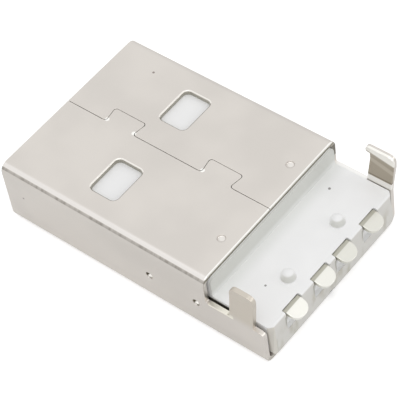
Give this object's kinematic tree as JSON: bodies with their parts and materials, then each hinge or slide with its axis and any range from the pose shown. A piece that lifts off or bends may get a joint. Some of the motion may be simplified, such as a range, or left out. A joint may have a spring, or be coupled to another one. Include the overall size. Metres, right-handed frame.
{
  "type": "usb-a plug",
  "caption": "Board-mounted USB-A plug: folded metal shell with seam and spring windows around a moulded insulator with locating pegs and contacts.",
  "frame": {"origin": "centre of the shell's flat back, which the plug lies on", "axes": "+X across the plug towards the power contact, +Y back from the mating edge to the solder tails, +Z from the flat back to the seamed side and the board seat"},
  "size_m": [0.0121, 0.0195, 0.0056],
  "materials": {
    "shell_metal": "satin nickel-plated steel sheet",
    "insulator_plastic": "white moulded plastic",
    "contact_metal": "tin-plated copper alloy strip"
  },
  "bodies": {
    "root": {"shell": "shell_metal", "insulator": "insulator_plastic", "power_contact": "contact_metal", "data_minus_contact": "contact_metal", "data_plus_contact": "contact_metal", "ground_contact": "contact_metal"}
  },
  "joints": []
}
